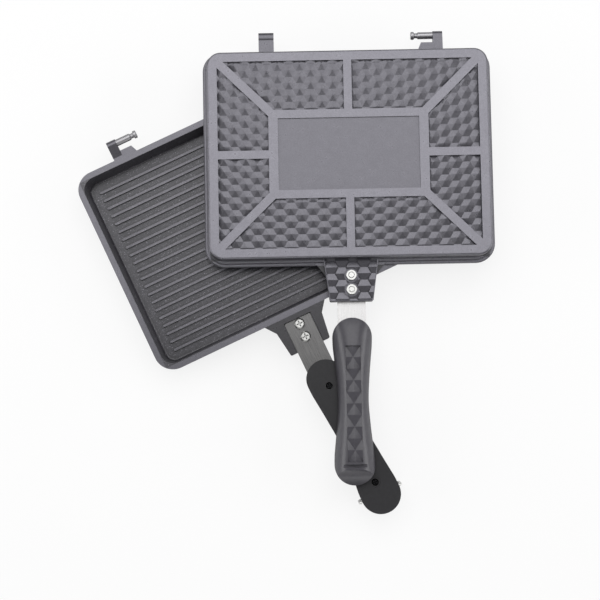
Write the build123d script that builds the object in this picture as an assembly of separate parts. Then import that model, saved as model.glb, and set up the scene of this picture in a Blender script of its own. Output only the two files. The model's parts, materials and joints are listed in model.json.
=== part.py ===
from build123d import *
import math
import os

os.makedirs("parts", exist_ok=True)

# Stovetop sandwich toaster: two identical cast halves, unhooked and laid one on the other
# like an opened fan. Sizes are in millimetres.
#
# One half is modelled in its own frame: X along the hinge, +Y towards the hinge, Z = 0 at the
# parting plane where the two rims meet, and the metal below it. The other half is the same
# casting turned over about Y, so its pin comes to lie where the first half has its hook.

# Cast tray
RIM_LENGTH = 240.0
RIM_WIDTH = 180.0
RIM_CORNER = 16.0
RIM_LAND = 5.0
FLANGE_DEPTH = 5.0
STEP_DEPTH = 11.0
STEP_INSET = 2.4
BODY_INSET = 4.2
BODY_DRAFT = 1.0
HALF_DEPTH = 24.0
FLOOR_THICKNESS = 6.6
WALL_DRAFT = 8.0
FLOOR_FILLET = 2.0
FACE_ROUND = 1.6
FLANGE_CHAMFER = 0.9
CUT_MARGIN = 1.0

# Grill ridges on the cooking floor
RIDGE_COUNT = 21
RIDGE_PITCH = 7.35
RIDGE_LENGTH = 210.0
RIDGE_WIDTH = 2.8
RIDGE_END_CHAMFER = 0.9
RIDGE_HEIGHT = 1.6
RIDGE_DRAFT = 12.0
RIDGE_SINK = 0.3

# Framed pockets on the outer face
PANEL_FIELD_LENGTH = 214.2
PANEL_FIELD_WIDTH = 154.6
PANEL_DEPTH = 2.0
CENTRE_FRAME_LENGTH = 131.0
CENTRE_FRAME_WIDTH = 73.0
CENTRE_PLATE_LENGTH = 115.6
CENTRE_PLATE_WIDTH = 59.2
CENTRE_PLATE_DEPTH = 1.3
MID_RIB_WIDTH = 6.8
DIAGONAL_RIB_WIDTH = 7.0

# Handle lug cast on the front edge
LUG_LENGTH = 30.5
LUG_ROOT_WIDTH = 45.0
LUG_TIP_WIDTH = 35.4
LUG_THICKNESS = 13.7
LUG_ROUND = 1.2
ROOT_SINK = 1.0
GUSSET_WIDTH = 10.0
GUSSET_LENGTH = 9.0
GUSSET_THICKNESS = 5.0
PARTING_CLEARANCE = 0.3

# Hinge: a saddle hook on one side and a headed pin on the other
HINGE_SETBACK = 12.9
HOOK_OFFSET = 66.6
HOOK_WIDTH = 12.6
HOOK_WALL = 2.4
HOOK_WRAP_END = 308.0
HOOK_ARM_BOTTOM = 4.9
SADDLE_CLEARANCE = 0.3
PIN_DIAMETER = 5.8
PIN_NECK_DIAMETER = 4.2
PIN_HEAD_DIAMETER = 6.6
PIN_STEM_DIAMETER = 4.0
PIN_BODY_LENGTH = 13.2
PIN_NECK_LENGTH = 2.4
PIN_HEAD_LENGTH = 2.8
PIN_SHOULDER = 0.9
STEM_CLEARANCE = 0.05
ARM_WIDTH = 8.0
ARM_EYE_WALL = 1.6
LEDGE_REACH = 6.0
LEDGE_THICKNESS = 4.0

# Steel strap between lug and grip
STRAP_WIDTH = 23.4
STRAP_TANG_WIDTH = 17.0
STRAP_THICKNESS = 1.8
STRAP_REAR_GAP = 4.6
STRAP_CORNER = 1.4
STRAP_SIDE_CLEARANCE = 0.4
SCREW_HEADROOM = 3.1

# Fasteners
LUG_SCREW_INSET = 9.3
LUG_SCREW_SPACING = 11.7
LUG_SCREW_DIAMETER = 5.0
LUG_SCREW_HEAD_DIAMETER = 8.8
LUG_SCREW_HEAD_HEIGHT = 2.7
LUG_SCREW_PROTRUSION = 1.2
NUT_ACROSS_FLATS = 8.0
NUT_THICKNESS = 4.0
GRIP_SCREW_DIAMETER = 4.0
GRIP_SCREW_HEAD_DIAMETER = 5.6
GRIP_SCREW_HEAD_HEIGHT = 2.0
GRIP_SCREW_LENGTH = 8.5
INSERT_DIAMETER = 7.0
INSERT_LENGTH = 7.5
THREAD_CLEARANCE = 0.05
HOLE_CLEARANCE = 0.2
RECESS_ARM_WIDTH = 1.0
RECESS_SPAN_SHARE = 0.6
RECESS_DEPTH_SHARE = 0.6
SCREW_HEAD_CHAMFER_SHARE = 0.4
SHANK_CHAMFER_SHARE = 0.1

# Moulded grip
GRIP_START = 43.8
GRIP_LENGTH = 137.0
GRIP_HEAD_HALF_WIDTH = 16.3
GRIP_WAIST_HALF_WIDTH = 12.5
GRIP_TAIL_HALF_WIDTH = 16.6
GRIP_HEAD_CROWN = 15.0
GRIP_CROWN = 17.5
GRIP_TIP_CROWN = 8.3
GRIP_END_CROWN = 16.1
GRIP_SIDE_LAND = 0.5
GRIP_FRONT_SCREW = 22.5
GRIP_REAR_SCREW = 110.0
GRIP_SCREW_HOLE_DIAMETER = 6.2
GRIP_RING_DIAMETER = 9.0
GRIP_RING_DEPTH = 0.5
GRIP_TANG_END = 5.4
STRIP_WIDTH = 12.3
STRIP_FLOOR_DEPTH = 2.2
STRIP_FROM_FRONT = 23.0
STRIP_END_LAND = 2.0
SCOOP_RADIUS = 18.0
SCOOP_TIP_THICKNESS = 5.5
SCOOP_LAND = 1.6

# Wire bail that locks the two grips together
BAIL_WIRE_DIAMETER = 2.2
BAIL_BEND_RADIUS = 1.6
BAIL_REACH = 19.2
BAIL_PIVOT_FROM_END = 16.5
BAIL_PIVOT_DEPTH = 3.0
BAIL_FOOT_LENGTH = 4.4
BAIL_HOLE_CLEARANCE = 0.08
BAIL_SIDE_GAP = 0.3

# Lay of the upper half on the lower one, as an opened fan
FAN_ANGLE = -24.4
FAN_SHIFT_X = 96.0
FAN_SHIFT_Y = 8.0

# Places worked out from the sizes above
rim_edge = RIM_WIDTH / 2
hinge_y = rim_edge + HINGE_SETBACK
floor_depth = HALF_DEPTH - FLOOR_THICKNESS
strap_bottom = PARTING_CLEARANCE + SCREW_HEADROOM + STRAP_THICKNESS
strap_top = strap_bottom - STRAP_THICKNESS
lug_outer = PARTING_CLEARANCE + LUG_THICKNESS
lug_tip_y = -rim_edge - LUG_LENGTH
screw_ys = [-rim_edge - LUG_SCREW_INSET - i * LUG_SCREW_SPACING for i in range(2)]
strap_rear_y = -rim_edge - STRAP_REAR_GAP
grip_front_y = -rim_edge - GRIP_START
grip_end_y = grip_front_y - GRIP_LENGTH
grip_head_y = grip_front_y - GRIP_HEAD_HALF_WIDTH
grip_tail_y = grip_end_y + GRIP_TAIL_HALF_WIDTH
grip_screw_ys = [grip_front_y - GRIP_FRONT_SCREW, grip_front_y - GRIP_REAR_SCREW]
bail_y = grip_end_y + BAIL_PIVOT_FROM_END
bail_z = -PARTING_CLEARANCE - BAIL_PIVOT_DEPTH
strap_end_y = bail_y + GRIP_TANG_END
pin_body_start = HOOK_OFFSET - PIN_BODY_LENGTH / 2
arm_inner_x = HOOK_OFFSET + PIN_BODY_LENGTH / 2


def facing_down(z):
    """A sketch plane at height z whose sketches extrude towards the outer face."""
    return Plane(origin=(0, 0, z), x_dir=(1, 0, 0), z_dir=(0, 0, -1))


def rounded_plate(inset):
    """The rim's rounded rectangle, drawn inwards by an inset."""
    return RectangleRounded(RIM_LENGTH - 2 * inset, RIM_WIDTH - 2 * inset, RIM_CORNER - inset)


def upright(x, y, z_bottom, z_top, radius):
    """A round bar or hole along Z."""
    height = z_top - z_bottom
    return Pos(x, y, z_bottom) * Cylinder(radius, height, align=(Align.CENTER, Align.CENTER, Align.MIN))


def slab(plan, z_bottom, thickness):
    """A plan drawn at Z = 0, raised to z_bottom and thickened upwards."""
    return extrude(Pos(0, 0, z_bottom) * plan, thickness, dir=(0, 0, 1))


def across(profile, x_start, width):
    """A profile drawn in Y and Z, thickened along the hinge from x_start."""
    return extrude(Plane.YZ.offset(x_start) * profile, width, dir=(1, 0, 0))


def tray_shell():
    """Flange, step and drafted body, hollowed from the parting plane."""
    flange = extrude(facing_down(0) * rounded_plate(0), FLANGE_DEPTH)
    step = extrude(facing_down(0) * rounded_plate(STEP_INSET), STEP_DEPTH)
    body = extrude(facing_down(0) * rounded_plate(BODY_INSET), HALF_DEPTH, taper=BODY_DRAFT)
    flange = chamfer(flange.edges().group_by(Axis.Z)[0], FLANGE_CHAMFER)
    step = chamfer(step.edges().group_by(Axis.Z)[0], FLANGE_CHAMFER)
    body = fillet(body.edges().group_by(Axis.Z)[0], FACE_ROUND)
    shell = flange + step + body
    hollow = extrude(facing_down(0) * rounded_plate(RIM_LAND), floor_depth, taper=WALL_DRAFT)
    hollow = fillet(hollow.edges().group_by(Axis.Z)[0], FLOOR_FILLET)
    return shell - hollow


def grill_ridges():
    """Straight drafted ridges with blunted ends, side by side across the floor."""
    ridge = Rectangle(RIDGE_LENGTH, RIDGE_WIDTH)
    ridge = chamfer(ridge.vertices(), RIDGE_END_CHAMFER)
    ridges = Sketch() + [place * ridge for place in GridLocations(0, RIDGE_PITCH, 1, RIDGE_COUNT)]
    foot = Pos(0, 0, -floor_depth - RIDGE_SINK)
    return extrude(foot * ridges, RIDGE_HEIGHT + RIDGE_SINK, taper=RIDGE_DRAFT)


def face_pockets():
    """Eight panels between a border, a centre frame, mid ribs and diagonal ribs."""
    panels = Rectangle(PANEL_FIELD_LENGTH, PANEL_FIELD_WIDTH)
    panels -= Rectangle(CENTRE_FRAME_LENGTH, CENTRE_FRAME_WIDTH)
    panels -= Rectangle(MID_RIB_WIDTH, RIM_WIDTH)
    panels -= Rectangle(RIM_LENGTH, MID_RIB_WIDTH)
    run_x = (PANEL_FIELD_LENGTH - CENTRE_FRAME_LENGTH) / 2
    run_y = (PANEL_FIELD_WIDTH - CENTRE_FRAME_WIDTH) / 2
    slope = math.degrees(math.atan2(run_y, run_x))
    middle_x = (PANEL_FIELD_LENGTH + CENTRE_FRAME_LENGTH) / 4
    middle_y = (PANEL_FIELD_WIDTH + CENTRE_FRAME_WIDTH) / 4
    reach = math.hypot(run_x, run_y) + 2 * DIAGONAL_RIB_WIDTH
    for side_x in (-1, 1):
        for side_y in (-1, 1):
            centre = Pos(side_x * middle_x, side_y * middle_y)
            panels -= centre * Rot(0, 0, side_x * side_y * slope) * Rectangle(reach, DIAGONAL_RIB_WIDTH)
    plate = Rectangle(CENTRE_PLATE_LENGTH, CENTRE_PLATE_WIDTH)
    return slab(panels, -HALF_DEPTH, PANEL_DEPTH) + slab(plate, -HALF_DEPTH, CENTRE_PLATE_DEPTH)


def handle_lug():
    """Tapered lug with side gussets; the strap lies in a channel on its inner side."""
    root_y = -rim_edge + BODY_INSET
    outline = Polygon(
        (-LUG_ROOT_WIDTH / 2, root_y),
        (-LUG_TIP_WIDTH / 2, lug_tip_y),
        (LUG_TIP_WIDTH / 2, lug_tip_y),
        (LUG_ROOT_WIDTH / 2, root_y),
        align=None,
    )
    lug = slab(outline, -lug_outer, LUG_THICKNESS)
    lug = fillet(lug.edges().filter_by(Axis.Z).group_by(Axis.Y)[0], LUG_ROUND)
    half_root = LUG_ROOT_WIDTH / 2 - 1.5 * LUG_ROUND
    web = Polygon(
        (-half_root - GUSSET_WIDTH, root_y),
        (-half_root, -rim_edge - GUSSET_LENGTH),
        (half_root, -rim_edge - GUSSET_LENGTH),
        (half_root + GUSSET_WIDTH, root_y),
        align=None,
    )
    return lug + slab(web, -PARTING_CLEARANCE - GUSSET_THICKNESS, GUSSET_THICKNESS)


def lug_cuts():
    """Strap channel and the two screw holes of the lug."""
    width = STRAP_WIDTH + 2 * STRAP_SIDE_CLEARANCE
    rear = strap_rear_y + STRAP_SIDE_CLEARANCE
    length = rear - lug_tip_y + LUG_ROUND
    channel = Pos(0, rear - length / 2, -strap_bottom / 2) * Box(width, length, strap_bottom)
    for y in screw_ys:
        channel += upright(0, y, -lug_outer - CUT_MARGIN, 0, LUG_SCREW_DIAMETER / 2 + HOLE_CLEARANCE)
    return channel


def saddle_hook():
    """Hook whose half-round saddle takes the other half's pin."""
    inner = PIN_DIAMETER / 2 + SADDLE_CLEARANCE
    outer = inner + HOOK_WALL

    def around(radius, degrees):
        angle = math.radians(degrees)
        return (hinge_y + radius * math.cos(angle), radius * math.sin(angle))

    lip_angle = 180 + math.degrees(math.asin(PARTING_CLEARANCE / inner))
    crease_angle = 180 + math.degrees(math.asin(HOOK_ARM_BOTTOM / outer))
    root = rim_edge - ROOT_SINK
    profile = Polyline(
        around(outer, crease_angle),
        (root, -HOOK_ARM_BOTTOM),
        (root, -PARTING_CLEARANCE),
        around(inner, lip_angle),
    )
    saddle = ThreePointArc(around(inner, lip_angle), around(inner, 250), around(inner, HOOK_WRAP_END))
    tip = Line(around(inner, HOOK_WRAP_END), around(outer, HOOK_WRAP_END))
    back = ThreePointArc(around(outer, HOOK_WRAP_END), around(outer, 275), around(outer, crease_angle))
    return across(make_face([profile, saddle, tip, back]), HOOK_OFFSET - HOOK_WIDTH / 2, HOOK_WIDTH)


def pin_arm():
    """Arm that ends in the eye for the hinge pin, and the low ledge beside it."""
    eye = PIN_STEM_DIAMETER / 2 + ARM_EYE_WALL
    root = rim_edge - ROOT_SINK
    bar = Polygon(
        (root, -HOOK_ARM_BOTTOM),
        (hinge_y, -eye),
        (hinge_y, eye),
        (rim_edge + eye / 2, -PARTING_CLEARANCE),
        (root, -PARTING_CLEARANCE),
        align=None,
    )
    bore = Circle(PIN_STEM_DIAMETER / 2 + STEM_CLEARANCE)
    profile = bar + Pos(hinge_y, 0) * Circle(eye) - Pos(hinge_y, 0) * bore
    arm = across(profile, -arm_inner_x - ARM_WIDTH, ARM_WIDTH)
    ledge = Polygon(
        (-arm_inner_x - ROOT_SINK, root),
        (-arm_inner_x - ROOT_SINK, rim_edge + LEDGE_REACH),
        (-pin_body_start - LEDGE_REACH / 2, rim_edge + LEDGE_REACH),
        (-pin_body_start, root),
        align=None,
    )
    ledge_bottom = -2 * PARTING_CLEARANCE - LEDGE_THICKNESS
    return arm + slab(ledge, ledge_bottom, LEDGE_THICKNESS)


def pan_casting():
    """One cast half: tray, ridges, lug, hook and pin arm in a single piece of metal."""
    pan = tray_shell() + handle_lug() + saddle_hook() + pin_arm()
    pan += grill_ridges()
    return pan - face_pockets() - lug_cuts()


def hinge_pin():
    """Turned pin: stem in the arm's eye, body, grooved neck and head."""
    stem = PIN_STEM_DIAMETER / 2
    body = PIN_DIAMETER / 2
    neck = PIN_NECK_DIAMETER / 2
    head = PIN_HEAD_DIAMETER / 2
    body_end = -pin_body_start
    neck_end = body_end + PIN_NECK_LENGTH
    head_end = neck_end + PIN_HEAD_LENGTH
    edge = PIN_SHOULDER / 2
    outline = Polygon(
        (-arm_inner_x - ARM_WIDTH, 0),
        (-arm_inner_x - ARM_WIDTH, stem),
        (-arm_inner_x, stem),
        (-arm_inner_x, body),
        (body_end - PIN_SHOULDER, body),
        (body_end, neck),
        (neck_end, neck),
        (neck_end, head - edge),
        (neck_end + edge, head),
        (head_end - edge, head),
        (head_end, head - edge),
        (head_end, 0),
        align=None,
    )
    return Pos(0, hinge_y, 0) * revolve(outline, Axis.X)


def strap_outline(grow):
    """Plan of the strap: full width from the lug into the grip, then a narrower tang."""
    wide = STRAP_WIDTH / 2 + grow
    narrow = STRAP_TANG_WIDTH / 2 + grow
    shoulder = grip_front_y - GRIP_HEAD_HALF_WIDTH / 3
    points = [
        (wide, strap_rear_y + grow),
        (wide, shoulder),
        (narrow, shoulder - (wide - narrow) * 2),
        (narrow, strap_end_y - grow),
    ]
    return Polygon(*points, *[(-x, y) for x, y in reversed(points)], align=None)


def handle_strap():
    """Flat stamped strap with round holes."""
    strap = slab(strap_outline(0), -strap_bottom, STRAP_THICKNESS)
    rear_corners = strap.edges().filter_by(Axis.Z).group_by(Axis.Y)[-1]
    strap = fillet(rear_corners, STRAP_CORNER)
    for y in screw_ys:
        strap -= upright(0, y, -HALF_DEPTH, 0, LUG_SCREW_DIAMETER / 2 + HOLE_CLEARANCE)
    for y in grip_screw_ys:
        strap -= upright(0, y, -HALF_DEPTH, 0, GRIP_SCREW_DIAMETER / 2 + HOLE_CLEARANCE)
    return strap


def cross_recess(head_diameter, head_height):
    """Cross-shaped driver recess in the top of the head."""
    span = head_diameter * RECESS_SPAN_SHARE
    cross = Rectangle(span, RECESS_ARM_WIDTH) + Rectangle(RECESS_ARM_WIDTH, span)
    return extrude(facing_down(0) * cross, head_height * RECESS_DEPTH_SHARE)


def machine_screw(y, seat_z, diameter, head_diameter, head_height, length):
    """Pan-head screw, its head seated at seat_z and its shank pointing to the outer face."""
    head = Cylinder(head_diameter / 2, head_height, align=(Align.CENTER, Align.CENTER, Align.MIN))
    head = chamfer(head.edges().group_by(Axis.Z)[-1], head_height * SCREW_HEAD_CHAMFER_SHARE)
    shank = upright(0, 0, -length, 0, diameter / 2)
    shank = chamfer(shank.edges().group_by(Axis.Z)[0], diameter * SHANK_CHAMFER_SHARE)
    recess = Pos(0, 0, head_height) * cross_recess(head_diameter, head_height)
    return Pos(0, y, seat_z) * (head + shank - recess)


def lug_screw(y):
    """Machine screw through strap, lug and nut."""
    length = lug_outer - strap_top + NUT_THICKNESS + LUG_SCREW_PROTRUSION
    size = (LUG_SCREW_DIAMETER, LUG_SCREW_HEAD_DIAMETER, LUG_SCREW_HEAD_HEIGHT)
    return machine_screw(y, -strap_top, *size, length)


def lug_nut(y):
    """Hexagon nut with chamfered corners on the lug's outer side."""
    corner_radius = NUT_ACROSS_FLATS / math.sqrt(3)
    body = extrude(RegularPolygon(corner_radius, 6), NUT_THICKNESS)
    cone = Cylinder(corner_radius, NUT_THICKNESS, align=(Align.CENTER, Align.CENTER, Align.MIN))
    cone = chamfer(cone.edges().group_by(Axis.Z)[0], corner_radius - NUT_ACROSS_FLATS / 2)
    bore = upright(0, 0, 0, NUT_THICKNESS, LUG_SCREW_DIAMETER / 2 + THREAD_CLEARANCE)
    return Pos(0, y, -lug_outer - NUT_THICKNESS) * ((body & cone) - bore)


def grip_screw(y):
    """Short screw that clamps the strap against the insert in the grip."""
    size = (GRIP_SCREW_DIAMETER, GRIP_SCREW_HEAD_DIAMETER, GRIP_SCREW_HEAD_HEIGHT)
    return machine_screw(y, -strap_top, *size, GRIP_SCREW_LENGTH)


def grip_insert(y):
    """Threaded brass bush moulded into the grip behind the strap."""
    bush = upright(0, y, -strap_bottom - INSERT_LENGTH, -strap_bottom, INSERT_DIAMETER / 2)
    bore = upright(0, y, -strap_bottom - INSERT_LENGTH, 0, GRIP_SCREW_DIAMETER / 2 + THREAD_CLEARANCE)
    return bush - bore


def grip_plan():
    """Plan of the grip: oval head, waist and oval tail."""
    head, waist, tail = GRIP_HEAD_HALF_WIDTH, GRIP_WAIST_HALF_WIDTH, GRIP_TAIL_HALF_WIDTH
    waist_y = (grip_head_y + grip_tail_y) / 2
    front = ThreePointArc(
        (0, grip_front_y),
        (head * math.sin(math.pi / 4), grip_head_y + head * math.cos(math.pi / 4)),
        (head, grip_head_y),
    )
    side = Spline(
        [(head, grip_head_y), (waist, waist_y), (tail, grip_tail_y)],
        tangents=[(0, -1), (0, -1)],
    )
    end = ThreePointArc(
        (tail, grip_tail_y),
        (tail * math.sin(math.pi / 4), grip_tail_y - tail * math.cos(math.pi / 4)),
        (0, grip_end_y),
    )
    half = [front, side, end]
    return make_face(half + [edge.mirror(Plane.YZ) for edge in half])


def grip_section(y, half_width, crown):
    """Half ellipse, flat on the inner side, at one station along the grip."""
    station = Plane(origin=(0, y, -PARTING_CLEARANCE), x_dir=(1, 0, 0), z_dir=(0, -1, 0))
    lower = Rectangle(2 * half_width, crown, align=(Align.CENTER, Align.MAX))
    return station * (Ellipse(half_width, crown) & lower)


def grip_body():
    """Domed body: sections lofted along the grip, trimmed to its plan."""
    head = GRIP_HEAD_HALF_WIDTH + GRIP_SIDE_LAND
    waist = GRIP_WAIST_HALF_WIDTH + GRIP_SIDE_LAND
    tail = GRIP_TAIL_HALF_WIDTH + GRIP_SIDE_LAND
    waist_y = (grip_head_y + grip_tail_y) / 2
    stations = [
        (grip_front_y + CUT_MARGIN, head, GRIP_TIP_CROWN),
        (grip_head_y, head, GRIP_HEAD_CROWN),
        (waist_y, waist, (GRIP_HEAD_CROWN + GRIP_CROWN) / 2),
        (grip_tail_y, tail, GRIP_CROWN),
        (grip_end_y - CUT_MARGIN, tail, GRIP_END_CROWN),
    ]
    dome = loft([grip_section(*station) for station in stations])
    plan = mirror(grip_plan(), Plane.XZ)
    prism = extrude(facing_down(-PARTING_CLEARANCE) * plan, GRIP_CROWN + CUT_MARGIN)
    return dome & prism


def strip_seat():
    """Shallow flat-bottomed channel along the crown, which the moulded facets fill."""
    start = grip_front_y - STRIP_FROM_FRONT
    end = bail_y + BAIL_WIRE_DIAMETER / 2 + HOLE_CLEARANCE + STRIP_END_LAND
    slope = (GRIP_CROWN - GRIP_HEAD_CROWN) / (grip_head_y - grip_tail_y)

    def floor(y):
        crown = GRIP_HEAD_CROWN + slope * (grip_head_y - y)
        return (y, STRIP_FLOOR_DEPTH - PARTING_CLEARANCE - crown)

    above = -2 * GRIP_CROWN
    profile = Polygon(floor(start), floor(end), (end, above), (start, above), align=None)
    return across(profile, -STRIP_WIDTH / 2, STRIP_WIDTH)


def scoop():
    """Hollow behind the bail's seat, so that the wire rides up over the end."""
    top = (bail_y - BAIL_WIRE_DIAMETER / 2 - SCOOP_LAND, -PARTING_CLEARANCE - GRIP_CROWN)
    low = (grip_end_y, -PARTING_CLEARANCE - SCOOP_TIP_THICKNESS)
    chord = math.dist(top, low)
    along = ((low[0] - top[0]) / chord, (low[1] - top[1]) / chord)
    rise = math.sqrt(SCOOP_RADIUS ** 2 - (chord / 2) ** 2)
    centre_y = (top[0] + low[0]) / 2 - along[1] * rise
    centre_z = (top[1] + low[1]) / 2 + along[0] * rise
    width = 4 * GRIP_TAIL_HALF_WIDTH
    return Pos(0, centre_y, centre_z) * Rot(0, 90, 0) * Cylinder(SCOOP_RADIUS, width)


def bail_seat():
    """Slot across the crown, as deep as the closed bail's wire reaches."""
    seat = BAIL_REACH - PARTING_CLEARANCE - BAIL_PIVOT_DEPTH - BAIL_WIRE_DIAMETER / 2
    width = BAIL_WIRE_DIAMETER + 2 * HOLE_CLEARANCE
    depth = GRIP_CROWN + PARTING_CLEARANCE - seat + CUT_MARGIN
    return Pos(0, bail_y, -seat - depth / 2) * Box(4 * GRIP_TAIL_HALF_WIDTH, width, depth)


def grip():
    """Moulded grip with strap pocket, screw holes, inserts' seats, bail seat and bail holes."""
    body = grip_body() - scoop() - bail_seat() - strip_seat()
    body -= slab(strap_outline(HOLE_CLEARANCE), -strap_bottom, STRAP_THICKNESS)
    for y in grip_screw_ys:
        body -= upright(0, y, -strap_bottom, 0, GRIP_SCREW_HOLE_DIAMETER / 2)
        body -= upright(0, y, -strap_bottom - INSERT_LENGTH, -strap_bottom, INSERT_DIAMETER / 2)
    ring_z = -PARTING_CLEARANCE - GRIP_RING_DEPTH
    body -= upright(0, grip_screw_ys[1], ring_z, 0, GRIP_RING_DIAMETER / 2)
    hole = BAIL_WIRE_DIAMETER / 2 + BAIL_HOLE_CLEARANCE
    depth = BAIL_FOOT_LENGTH + HOLE_CLEARANCE + CUT_MARGIN
    for side in (-1, 1):
        centre_x = side * (GRIP_TAIL_HALF_WIDTH + CUT_MARGIN - depth / 2)
        body -= Pos(centre_x, bail_y, bail_z) * Rot(0, 90, 0) * Cylinder(hole, depth)
    return body


def latch_bail():
    """Square bail of round wire: two feet in the grip's sides, two legs and a crossbar."""
    leg_x = GRIP_TAIL_HALF_WIDTH + BAIL_SIDE_GAP + BAIL_BEND_RADIUS
    foot_x = GRIP_TAIL_HALF_WIDTH - BAIL_FOOT_LENGTH
    low = bail_z - BAIL_REACH
    path = FilletPolyline(
        (foot_x, bail_y, bail_z),
        (leg_x, bail_y, bail_z),
        (leg_x, bail_y, low),
        (-leg_x, bail_y, low),
        (-leg_x, bail_y, bail_z),
        (-foot_x, bail_y, bail_z),
        radius=BAIL_BEND_RADIUS,
    )
    section = Plane(origin=path @ 0, z_dir=path % 0) * Circle(BAIL_WIRE_DIAMETER / 2)
    return sweep(section, path=path)


def half_pieces(side):
    """Every piece of one half, in the half's own frame, keyed by its node name."""
    pieces = {
        f"{side}_pan": pan_casting(),
        f"{side}_hinge_pin": hinge_pin(),
        f"{side}_handle_strap": handle_strap(),
        f"{side}_grip": grip(),
    }
    for place, y in zip(("rear", "front"), screw_ys):
        pieces[f"{side}_{place}_lug_screw"] = lug_screw(y)
        pieces[f"{side}_{place}_lug_nut"] = lug_nut(y)
    for place, y in zip(("rear", "front"), grip_screw_ys):
        pieces[f"{side}_{place}_grip_screw"] = grip_screw(y)
        pieces[f"{side}_{place}_grip_insert"] = grip_insert(y)
    return pieces


def laid_out():
    """Lower half face down on the table, upper half turned over and fanned out on its rim."""
    lower_place = Pos(0, 0, HALF_DEPTH)
    upper_place = Pos(FAN_SHIFT_X, FAN_SHIFT_Y, HALF_DEPTH) * Rot(0, 0, FAN_ANGLE) * Rot(0, 180, 0)
    placed = {name: lower_place * piece for name, piece in half_pieces("lower").items()}
    placed["latch_bail"] = lower_place * latch_bail()
    placed.update({name: upper_place * piece for name, piece in half_pieces("upper").items()})
    return placed


nodes = laid_out()

# The origin lies under the middle of the whole object, on the surface it rests on.
outer_box = Compound(list(nodes.values())).bounding_box()
middle = outer_box.center()
to_origin = Pos(-middle.X, -middle.Y, -outer_box.min.Z)
for name, piece in nodes.items():
    export_step(to_origin * piece, f"parts/{name}.step")
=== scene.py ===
"""Looks of a stovetop sandwich toaster: finishes, moulded relief, studio stage and camera."""

import json
import math

import bmesh
import bpy
from mathutils import Matrix, Vector


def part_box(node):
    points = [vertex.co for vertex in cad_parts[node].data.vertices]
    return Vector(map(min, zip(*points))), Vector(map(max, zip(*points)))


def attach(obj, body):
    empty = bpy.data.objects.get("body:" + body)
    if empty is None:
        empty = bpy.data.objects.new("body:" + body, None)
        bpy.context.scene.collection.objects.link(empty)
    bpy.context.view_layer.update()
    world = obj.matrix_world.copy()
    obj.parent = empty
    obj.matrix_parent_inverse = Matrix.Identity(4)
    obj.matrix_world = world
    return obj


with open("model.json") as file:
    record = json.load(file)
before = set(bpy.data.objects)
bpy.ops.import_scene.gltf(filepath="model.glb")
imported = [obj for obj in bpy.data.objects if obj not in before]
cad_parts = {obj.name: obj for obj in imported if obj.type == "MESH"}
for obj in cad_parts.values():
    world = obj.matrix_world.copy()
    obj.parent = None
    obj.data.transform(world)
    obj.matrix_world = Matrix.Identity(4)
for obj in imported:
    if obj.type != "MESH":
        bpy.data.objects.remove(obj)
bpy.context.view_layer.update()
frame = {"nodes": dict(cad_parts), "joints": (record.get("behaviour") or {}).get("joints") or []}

bl_info = {
    "name": "Stovetop sandwich toaster",
    "version": (1, 0, 0),
    "blender": (4, 5, 0),
    "location": "View3D > Sidebar > Toaster",
    "description": "Dresses the two cast halves, their handles and the wire bail",
    "category": "Object",
}

MM = 0.001
SIDES = ("lower", "upper")
PLACES = ("rear", "front")

# Sizes of one cast half, in its outer frame: origin in the middle of the parting plane,
# X along the hinge, +Y towards the hinge, +Z out of the outer face.
HINGE_Y = 102.9 * MM
FACE_Z = 24.0 * MM
POCKET_DEPTH = 2.0 * MM
FIELD = Vector((107.1 * MM, 77.3 * MM))
CENTRE_FRAME = Vector((65.5 * MM, 36.5 * MM))
MID_RIB_HALF = 3.4 * MM
DIAGONAL_RIB_HALF = 3.5 * MM
LUG_FACE_Z = 14.0 * MM
LUG_ROOT = Vector((22.4 * MM, -85.6 * MM))
LUG_TIP = Vector((17.7 * MM, -120.5 * MM))
SPOT_FACE_RADIUS = 5.8 * MM
CAVITY_HALF = Vector((115.3 * MM, 85.3 * MM))
CAVITY_FLOOR_Z = 18.0 * MM
RIDGE_FIELD = Vector((108.0 * MM, 77.5 * MM))
RIDGE_BASE_Z = 17.4 * MM
RIM_FRONT_Y = -90.2 * MM
STRIP_START_Y = -156.8 * MM
STRIP_END_Y = -251.0 * MM
STRIP_START_Z = 13.26 * MM
STRIP_END_Z = 15.52 * MM

# How far each relief reaches down into the solid that carries it.
PANEL_SINK = 0.05 * MM
LUG_SINK = 0.3 * MM
STRIP_SINK = 1.0 * MM

# Shape of the relief. The lug keeps a plain border, and a ridge's half length is a share of
# its cell's side.
LUG_BORDER = 0.6 * MM
LUG_RIDGE_SHARE = 0.92
SPOT_FACE_TOOL_LENGTH = 10 * MM
SPOT_FACE_TOOL_SIDES = 64
STRIP_SOFTNESS = 0.2 * MM
ROUNDED_ANGLE = math.radians(8)
SMOOTH_ANGLE = math.radians(40)
WELD = 0.01 * MM

# Sizes of lumps, lines and grit. Flake, grit and brush lines are finer on the real finishes,
# and are drawn as coarse as they need to show.
FLAKE_SIZE = 0.9 * MM
CLOUD_SIZE = 6 * MM
GRIT_SIZE = 0.6 * MM
GRIT_DEPTH = 0.018 * MM
SPECK_SIZE = 0.8 * MM
PHENOLIC_LUMP_SIZE = 3 * MM
PHENOLIC_GRIT_SIZE = 0.5 * MM
PHENOLIC_GRIT_DEPTH = 0.02 * MM
BRUSH_LINE_SIZE = 0.8 * MM
BRUSH_LINE_DEPTH = 0.01 * MM
# Brush lines are pressed together across the strap and drawn out along it.
BRUSH_STRETCH = (3.0, 0.06, 1.0)

# Share of metallic flake in the outer and the inner coat.
OUTER_FLAKE = 0.65
INNER_FLAKE = 0.2

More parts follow.
